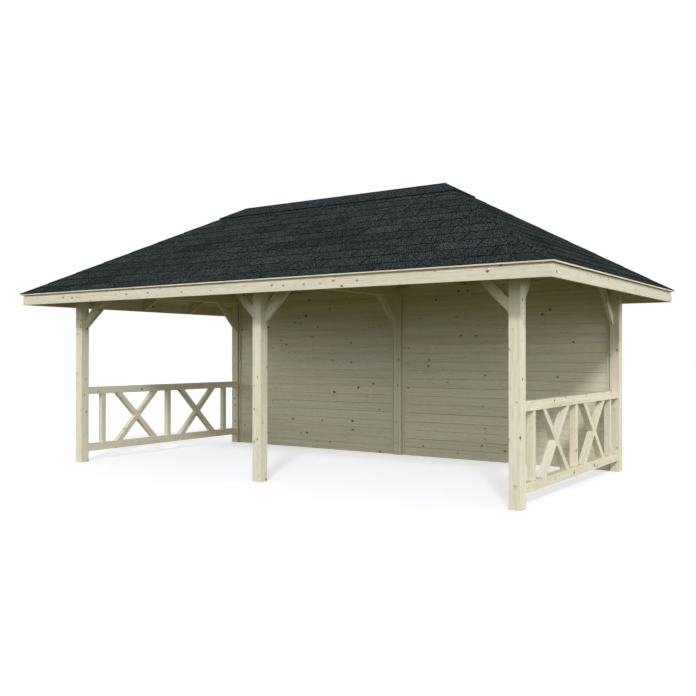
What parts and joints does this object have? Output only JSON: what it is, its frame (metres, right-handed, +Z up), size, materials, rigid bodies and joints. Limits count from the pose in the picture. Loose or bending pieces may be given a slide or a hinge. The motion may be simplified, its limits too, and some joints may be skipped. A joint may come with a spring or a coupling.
{
  "type": "garden gazebo",
  "caption": "Open timber garden gazebo with a hipped shingle roof on square posts, knee braces, a boarded rear wall and cross-braced railings in both ends.",
  "frame": {"origin": "ground level under the middle of the roof", "axes": "+X along the open front to the right, +Y from the open front to the boarded rear wall, +Z up"},
  "size_m": [7.298, 4.218, 3.4422],
  "materials": {
    "frame_timber": "planed softwood, untreated",
    "railing_timber": "planed softwood, untreated",
    "wall_boards": "planed tongued boards, untreated",
    "roof_boards": "planed tongued boards, untreated",
    "roof_timber": "sawn softwood, untreated",
    "fascia": "planed softwood, untreated",
    "shingles": "mineral granules on bitumen, matt"
  },
  "bodies": {
    "root": {"front_beam": "frame_timber", "front_braces": "frame_timber", "front_fascia": "fascia", "front_left_hip_rafter": "roof_timber", "front_left_post": "frame_timber", "front_middle_post": "frame_timber", "front_rafters": "roof_timber", "front_right_hip_rafter": "roof_timber", "front_right_post": "frame_timber", "front_roof_deck": "roof_boards", "front_shingles": "shingles", "hip_caps": "shingles", "left_beam": "frame_timber", "left_braces": "frame_timber", "left_fascia": "fascia", "left_rafters": "roof_timber", "left_railing": "railing_timber", "left_roof_deck": "roof_boards", "left_shingles": "shingles", "left_wall_battens": "frame_timber", "left_wall_panel": "wall_boards", "middle_tie_beam": "frame_timber", "rear_beam": "frame_timber", "rear_fascia": "fascia", "rear_left_hip_rafter": "roof_timber", "rear_left_post": "frame_timber", "rear_middle_post": "frame_timber", "rear_rafters": "roof_timber", "rear_right_hip_rafter": "roof_timber", "rear_right_post": "frame_timber", "rear_roof_deck": "roof_boards", "rear_shingles": "shingles", "ridge_board": "roof_timber", "ridge_cap": "shingles", "right_beam": "frame_timber", "right_braces": "frame_timber", "right_fascia": "fascia", "right_rafters": "roof_timber", "right_railing": "railing_timber", "right_roof_deck": "roof_boards", "right_shingles": "shingles", "right_wall_battens": "frame_timber", "right_wall_panel": "wall_boards", "tie_braces": "frame_timber"}
  },
  "joints": []
}
